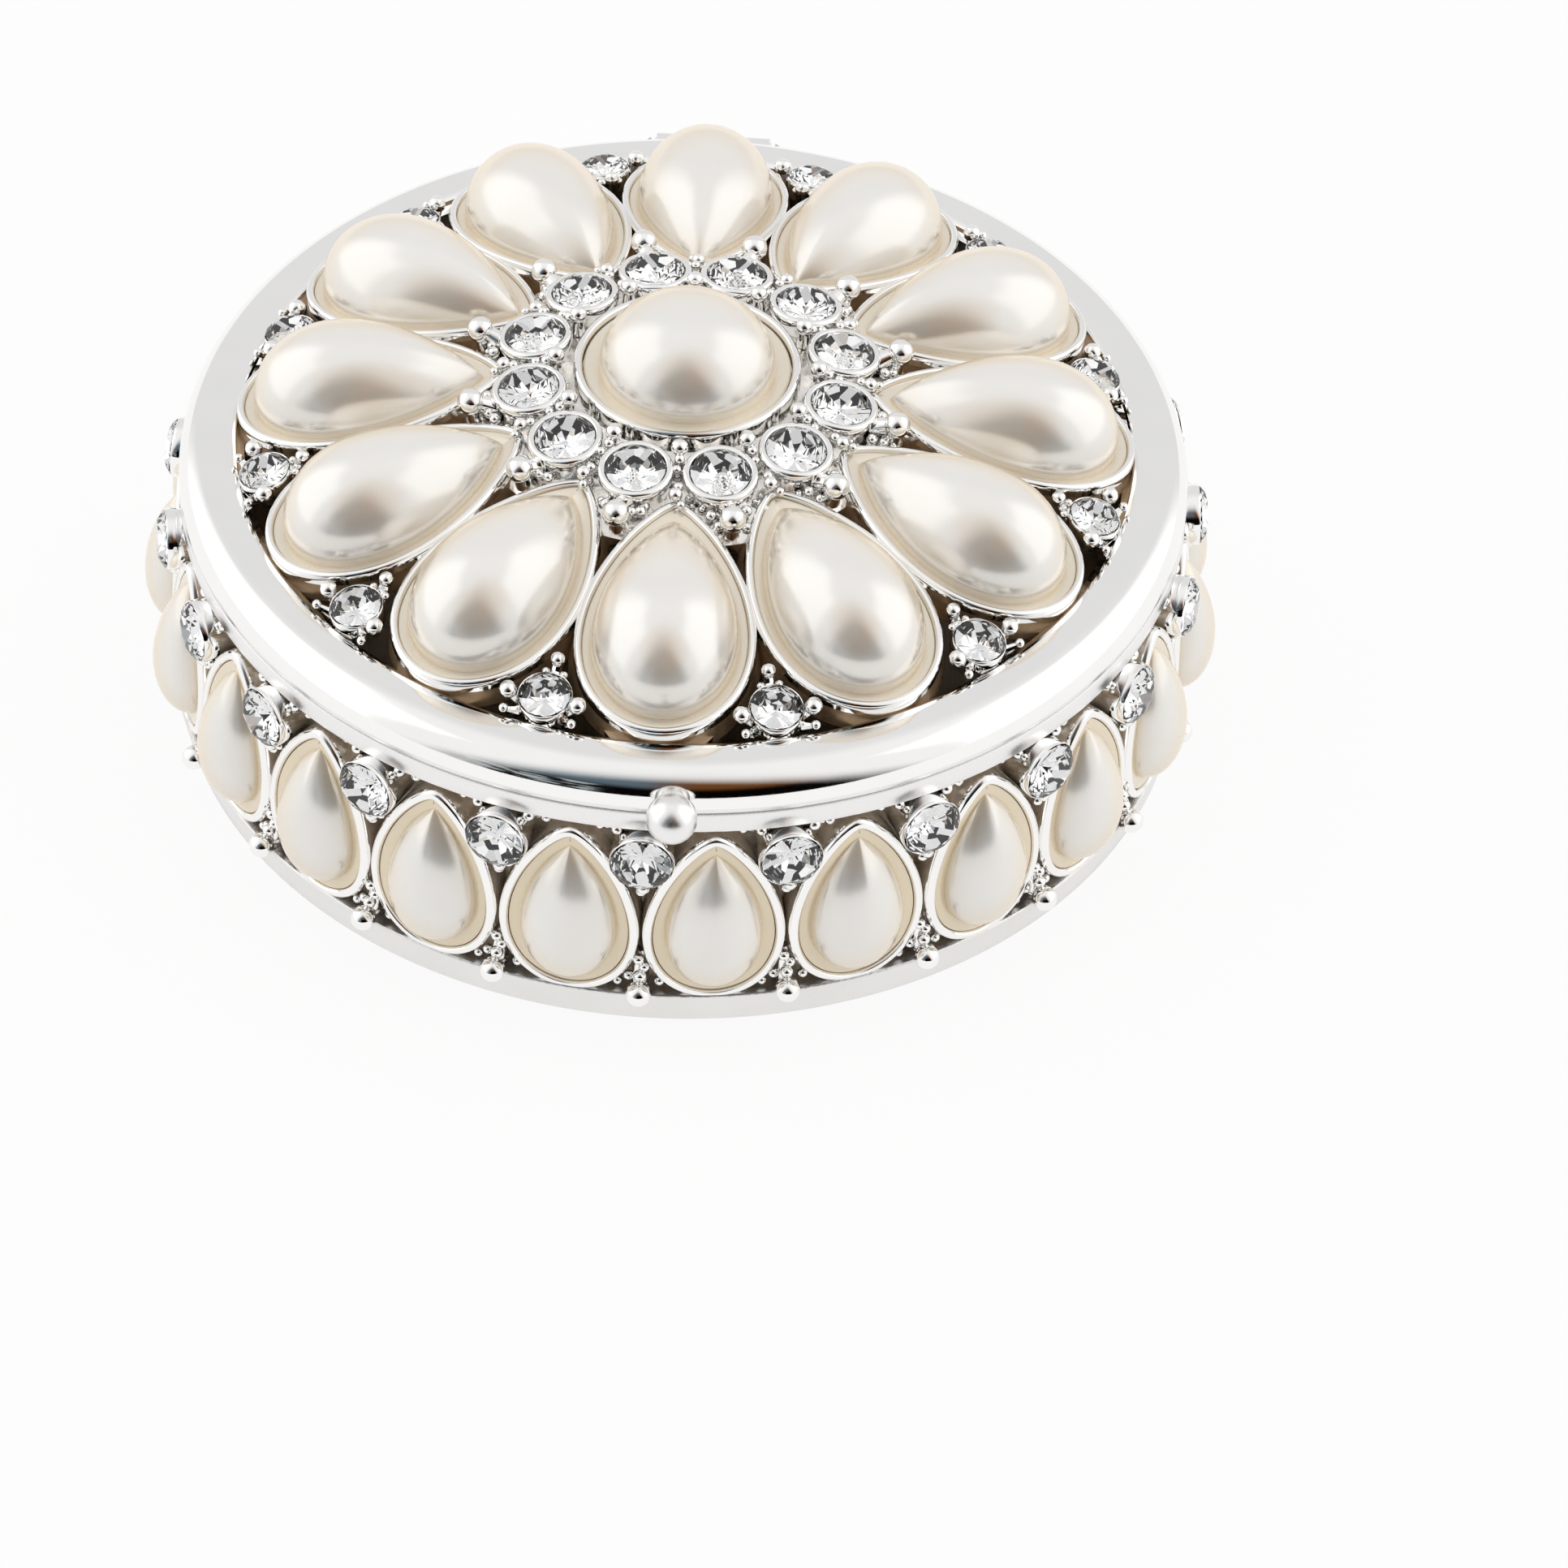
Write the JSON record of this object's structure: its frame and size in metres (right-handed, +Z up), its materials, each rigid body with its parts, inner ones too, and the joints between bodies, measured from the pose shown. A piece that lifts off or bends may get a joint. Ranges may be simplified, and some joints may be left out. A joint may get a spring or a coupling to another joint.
{
  "type": "round keepsake box",
  "caption": "Round trinket box of plated cast metal with a hinged openwork lid, set all over with half-drop pearls and crystals, on a plain foot band.",
  "frame": {"origin": "middle of the flat underside, on the surface that the box stands on", "axes": "+Z up through the lid; -Y is the front with the thumb knob; the hinge pin runs along X at +Y"},
  "size_m": [0.0757, 0.0768, 0.0326],
  "materials": {
    "body_plate": "polished silver plate on cast pewter",
    "lid_plate": "mirror-polished silver plate on cast pewter",
    "floor": "brushed",
    "pearl": "satin nacre",
    "crystal": "foil-backed, cut",
    "magnet": "ground"
  },
  "bodies": {
    "base": {"body_casting": "body_plate", "floor_plate": "floor", "hinge_pin": "lid_plate", "body_magnet": "magnet", "side_pearl_01": "pearl", "side_pearl_02": "pearl", "side_pearl_03": "pearl", "side_pearl_04": "pearl", "side_pearl_05": "pearl", "side_pearl_06": "pearl", "side_pearl_07": "pearl", "side_pearl_08": "pearl", "side_pearl_09": "pearl", "side_pearl_10": "pearl", "side_pearl_11": "pearl", "side_pearl_12": "pearl", "side_pearl_13": "pearl", "side_pearl_14": "pearl", "side_pearl_15": "pearl", "side_pearl_16": "pearl", "side_pearl_17": "pearl", "side_pearl_18": "pearl", "side_pearl_19": "pearl", "side_pearl_20": "pearl", "side_pearl_21": "pearl", "side_pearl_22": "pearl", "side_pearl_23": "pearl"},
    "lid": {"lid_casting": "lid_plate", "lid_magnet": "magnet", "thumb_knob": "lid_plate", "centre_pearl": "pearl", "lid_pearl_01": "pearl", "lid_pearl_02": "pearl", "lid_pearl_03": "pearl", "lid_pearl_04": "pearl", "lid_pearl_05": "pearl", "lid_pearl_06": "pearl", "lid_pearl_07": "pearl", "lid_pearl_08": "pearl", "lid_pearl_09": "pearl", "lid_pearl_10": "pearl", "lid_pearl_11": "pearl", "lid_pearl_12": "pearl", "ring_crystal_01": "crystal", "ring_crystal_02": "crystal", "ring_crystal_03": "crystal", "ring_crystal_04": "crystal", "ring_crystal_05": "crystal", "ring_crystal_06": "crystal", "ring_crystal_07": "crystal", "ring_crystal_08": "crystal", "ring_crystal_09": "crystal", "ring_crystal_10": "crystal", "ring_crystal_11": "crystal", "ring_crystal_12": "crystal"}
  },
  "joints": [
    {"name": "lid_hinge", "type": "hinge", "parent": "base", "child": "lid", "pos_m": [0, 0.03528, 0.01859], "axis": [-1, 0, 0], "range_deg": [0, 100]}
  ]
}
